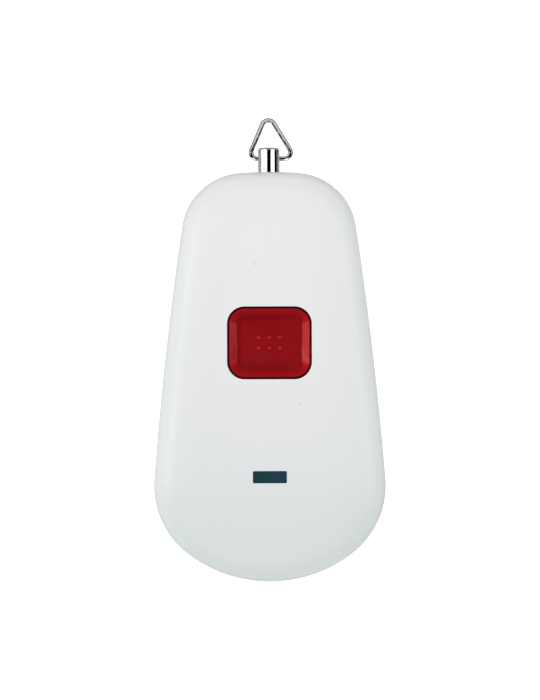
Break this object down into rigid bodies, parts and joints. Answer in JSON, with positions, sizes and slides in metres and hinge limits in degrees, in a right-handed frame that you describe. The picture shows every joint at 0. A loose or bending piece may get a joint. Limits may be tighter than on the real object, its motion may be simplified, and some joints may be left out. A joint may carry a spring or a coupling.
{
  "type": "wireless panic button",
  "caption": "Neck-worn wireless panic button: drop-shaped white case with a dished red key, a dark status window and a swivelling post with a wire triangle for a cord.",
  "frame": {"origin": "on the flat back, in the middle of the case's width and length", "axes": "+X across the case to the right as seen from the front, +Y along the case towards the post and ring, +Z out of the front face with the key"},
  "size_m": [0.04, 0.0801, 0.015],
  "materials": {
    "case_white": "moulded, glossy",
    "key_red": "moulded, tinted, glossy",
    "mat_silicone": "moulded, matte",
    "window_smoke": "smoked, glossy",
    "board_green": "solder mask",
    "screw_steel": "zinc plated",
    "bright_plate": "nickel plated, polished",
    "switch_black": "moulded, matte",
    "switch_plate": "stamped stainless",
    "tinned_lead": "tin plated",
    "cell_steel": "nickel plated, drawn",
    "contact_steel": "nickel plated, stamped",
    "chip_black": "moulded, matte",
    "can_metal": "plated, lapped lid",
    "lamp_white": "moulded, matte",
    "aerial_brass": "stamped strip",
    "capacitor_tan": "fired, tinned ends",
    "resistor_black": "glazed film, tinned ends"
  },
  "bodies": {
    "casing": {"front_cover": "case_white", "rear_cover": "case_white", "key_mat": "mat_silicone", "window_lens": "window_smoke", "circuit_board": "board_green", "casing_screws": "screw_steel", "switch_base": "switch_black", "switch_cover": "switch_plate", "switch_dome": "switch_plate", "switch_leads": "tinned_lead", "coin_cell": "cell_steel", "cell_contact": "contact_steel", "cell_clip": "contact_steel", "radio_chip": "chip_black", "controller_chip": "chip_black", "controller_leads": "tinned_lead", "crystal_can": "can_metal", "status_lamp": "lamp_white", "aerial_loop": "aerial_brass", "capacitors": "capacitor_tan", "resistors": "resistor_black"},
    "key": {"red_key": "key_red"},
    "plunger": {"switch_plunger": "switch_black"},
    "swivel": {"swivel_post": "bright_plate"},
    "ring": {"cord_ring": "bright_plate"}
  },
  "joints": [
    {"name": "key_press", "type": "slide", "parent": "casing", "child": "key", "axis": [0, 0, -1], "range_m": [0, 0.00035], "stiffness_N_per_m": 4000, "deforming": ["key_mat", "switch_dome"]},
    {"name": "plunger_slide", "type": "slide", "parent": "casing", "child": "plunger", "axis": [0, 0, -1], "range_m": [0, 0.00035]},
    {"name": "post_swivel", "type": "hinge", "parent": "casing", "child": "swivel", "pos_m": [0, 0.0328, 0.0072], "axis": [0, 1, 0], "continuous": true},
    {"name": "ring_swing", "type": "hinge", "parent": "swivel", "child": "ring", "pos_m": [0, 0.03777, 0.0072], "axis": [1, 0, 0], "range_deg": [-110, 110]}
  ],
  "couplings": [
    {"joint": "plunger_slide", "follows": "key_press", "ratio": 1}
  ]
}
